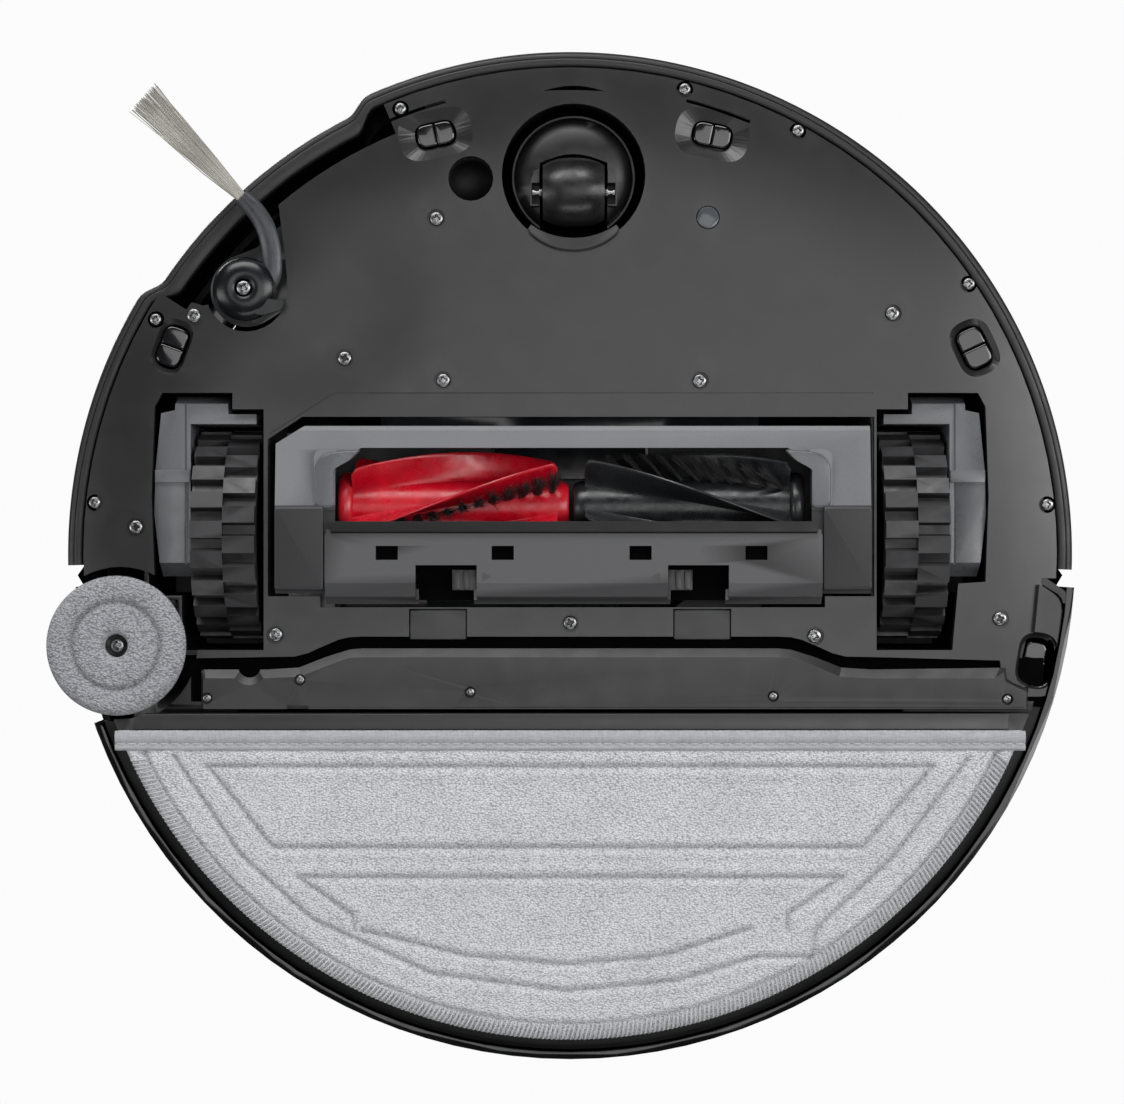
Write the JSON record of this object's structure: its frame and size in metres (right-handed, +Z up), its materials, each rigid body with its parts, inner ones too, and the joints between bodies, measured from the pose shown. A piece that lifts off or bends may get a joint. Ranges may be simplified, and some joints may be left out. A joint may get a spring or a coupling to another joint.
{
  "type": "robot vacuum",
  "caption": "Round robot vacuum with lidar turret, finned roller pair, sprung drive wheels, caster, swing-out side brush, lifting flat mop and edge mop disc.",
  "frame": {"origin": "centre of the round body, on the floor it stands on", "axes": "+Z up, +Y towards the mop at the back, so the front bumper faces -Y; the side brush and the edge mop disc are on the -X side"},
  "size_m": [0.3545, 0.3498, 0.098],
  "materials": {
    "chassis_plastic": "satin",
    "dark_plastic": "satin",
    "shell_plastic": "gloss",
    "tank_plastic": "gloss",
    "battery_wrap": "satin",
    "circuit_board": "satin",
    "motor_steel": "brushed",
    "window_plastic": "gloss",
    "lens_plastic": "gloss",
    "contact_brass": "satin",
    "screw_steel": "polished",
    "red_rubber": "satin",
    "grey_rubber": "satin",
    "cover_plastic": "satin",
    "black_rubber": "matte",
    "gearbox_plastic": "satin",
    "tyre_rubber": "matte",
    "brush_plastic": "gloss",
    "nylon": "satin",
    "mop_fabric": "woven",
    "pad_fabric": "looped"
  },
  "bodies": {
    "base": {"base_chassis": "chassis_plastic", "left_wheel_well": "dark_plastic", "right_wheel_well": "dark_plastic", "caster_well": "dark_plastic", "brush_bay": "dark_plastic", "top_shell": "shell_plastic", "turret_housing": "shell_plastic", "dust_bin": "tank_plastic", "water_tank": "tank_plastic", "battery_pack": "battery_wrap", "main_board": "circuit_board", "fan_blower": "dark_plastic", "brush_motor": "motor_steel", "mop_drive_cover": "chassis_plastic", "mop_drive_motor": "motor_steel", "side_brush_motor": "motor_steel", "cliff_window_front_left": "window_plastic", "cliff_window_front_right": "window_plastic", "cliff_window_left": "window_plastic", "cliff_window_right": "window_plastic", "cliff_window_rear": "window_plastic", "floor_sensor_lens": "lens_plastic", "charging_contact_left": "contact_brass", "charging_contact_right": "contact_brass", "chassis_screw_1": "screw_steel", "chassis_screw_2": "screw_steel", "chassis_screw_3": "screw_steel", "chassis_screw_4": "screw_steel", "chassis_screw_5": "screw_steel", "chassis_screw_6": "screw_steel"},
    "bumper": {"bumper": "dark_plastic"},
    "top_lid": {"top_lid": "shell_plastic"},
    "lidar_rotor": {"lidar_rotor": "window_plastic"},
    "power_button": {"power_button": "chassis_plastic"},
    "home_button": {"home_button": "chassis_plastic"},
    "red_roller": {"red_roller": "red_rubber"},
    "grey_roller": {"grey_roller": "grey_rubber"},
    "brush_cover": {"brush_cover": "cover_plastic", "cover_lip": "black_rubber"},
    "left_cover_latch": {"left_cover_latch": "chassis_plastic"},
    "right_cover_latch": {"right_cover_latch": "chassis_plastic"},
    "left_suspension": {"left_wheel_gearbox": "gearbox_plastic"},
    "left_wheel": {"left_tyre": "tyre_rubber", "left_wheel_hub": "gearbox_plastic"},
    "right_suspension": {"right_wheel_gearbox": "gearbox_plastic"},
    "right_wheel": {"right_tyre": "tyre_rubber", "right_wheel_hub": "gearbox_plastic"},
    "caster": {"caster_pod": "dark_plastic", "caster_axle": "motor_steel"},
    "caster_wheel": {"caster_wheel": "dark_plastic"},
    "side_brush_arm": {"side_brush_arm": "chassis_plastic"},
    "side_brush": {"side_brush_hub": "brush_plastic", "side_brush_bristles": "nylon", "side_brush_screw": "screw_steel"},
    "mop_carrier": {"mop_plate": "chassis_plastic", "mop_cloth": "mop_fabric"},
    "edge_mop_carrier": {"edge_mop_motor": "motor_steel"},
    "edge_mop": {"edge_mop_hub": "dark_plastic", "edge_mop_pad": "pad_fabric", "edge_mop_screw": "screw_steel"}
  },
  "joints": [
    {"name": "bumper_push", "type": "slide", "parent": "base", "child": "bumper", "axis": [0, 1, 0], "range_m": [0, 0.003], "stiffness_N_per_m": 500, "springref_m": -0.003},
    {"name": "lid_hinge", "type": "hinge", "parent": "base", "child": "top_lid", "pos_m": [0, -0.02, 0.079], "axis": [-1, 0, 0], "range_deg": [0, 75]},
    {"name": "lidar_spin", "type": "hinge", "parent": "base", "child": "lidar_rotor", "pos_m": [0, 0.035, 0.085], "axis": [0, 0, 1], "continuous": true},
    {"name": "power_button_press", "type": "slide", "parent": "base", "child": "power_button", "axis": [0, 0, -1], "range_m": [0, 0.0008], "stiffness_N_per_m": 600, "springref_m": -0.001},
    {"name": "home_button_press", "type": "slide", "parent": "base", "child": "home_button", "axis": [0, 0, -1], "range_m": [0, 0.0008], "stiffness_N_per_m": 600, "springref_m": -0.001},
    {"name": "red_roller_spin", "type": "hinge", "parent": "base", "child": "red_roller", "pos_m": [-0.04, -0.0163, 0.0217], "axis": [1, 0, 0], "continuous": true},
    {"name": "grey_roller_spin", "type": "hinge", "parent": "base", "child": "grey_roller", "pos_m": [0.04, -0.0163, 0.0217], "axis": [1, 0, 0], "continuous": true},
    {"name": "brush_cover_hinge", "type": "hinge", "parent": "base", "child": "brush_cover", "pos_m": [0, -0.0442, 0.0104], "axis": [-1, 0, 0], "range_deg": [0, 100]},
    {"name": "left_latch_slide", "type": "slide", "parent": "brush_cover", "child": "left_cover_latch", "axis": [1, 0, 0], "range_m": [0, 0.0028], "stiffness_N_per_m": 200, "springref_m": -0.002},
    {"name": "right_latch_slide", "type": "slide", "parent": "brush_cover", "child": "right_cover_latch", "axis": [-1, 0, 0], "range_m": [0, 0.0028], "stiffness_N_per_m": 200, "springref_m": -0.002},
    {"name": "left_suspension_swing", "type": "hinge", "parent": "base", "child": "left_suspension", "pos_m": [-0.119, -0.048, 0.022], "axis": [1, 0, 0], "range_deg": [-10, 0], "stiffness_Nm_per_rad": 0.9, "springref_deg": -20.05},
    {"name": "left_wheel_spin", "type": "hinge", "parent": "left_suspension", "child": "left_wheel", "pos_m": [-0.119, -0.0068, 0.0368], "axis": [1, 0, 0], "continuous": true},
    {"name": "right_suspension_swing", "type": "hinge", "parent": "base", "child": "right_suspension", "pos_m": [0.119, -0.048, 0.022], "axis": [1, 0, 0], "range_deg": [-10, 0], "stiffness_Nm_per_rad": 0.9, "springref_deg": -20.05},
    {"name": "right_wheel_spin", "type": "hinge", "parent": "right_suspension", "child": "right_wheel", "pos_m": [0.119, -0.0068, 0.0368], "axis": [1, 0, 0], "continuous": true},
    {"name": "caster_swivel", "type": "hinge", "parent": "base", "child": "caster", "pos_m": [0.0012, -0.131, 0.03], "axis": [0, 0, 1], "continuous": true},
    {"name": "caster_spin", "type": "hinge", "parent": "caster", "child": "caster_wheel", "pos_m": [0.0012, -0.125, 0.012], "axis": [1, 0, 0], "continuous": true},
    {"name": "side_brush_swing", "type": "hinge", "parent": "base", "child": "side_brush_arm", "pos_m": [-0.07, -0.112, 0.015], "axis": [0, 0, 1], "range_deg": [0, 15]},
    {"name": "side_brush_spin", "type": "hinge", "parent": "side_brush_arm", "child": "side_brush", "pos_m": [-0.1119, -0.0912, 0.01], "axis": [0, 0, 1], "continuous": true},
    {"name": "mop_lift", "type": "slide", "parent": "base", "child": "mop_carrier", "axis": [0, 0, 1], "range_m": [0, 0.006]},
    {"name": "edge_mop_lift", "type": "slide", "parent": "base", "child": "edge_mop_carrier", "axis": [0, 0, 1], "range_m": [0, 0.006]},
    {"name": "edge_mop_spin", "type": "hinge", "parent": "edge_mop_carrier", "child": "edge_mop", "pos_m": [-0.1556, 0.0314, 0.01], "axis": [0, 0, 1], "continuous": true}
  ],
  "couplings": [
    {"joint": "edge_mop_lift", "follows": "mop_lift", "ratio": 1}
  ]
}
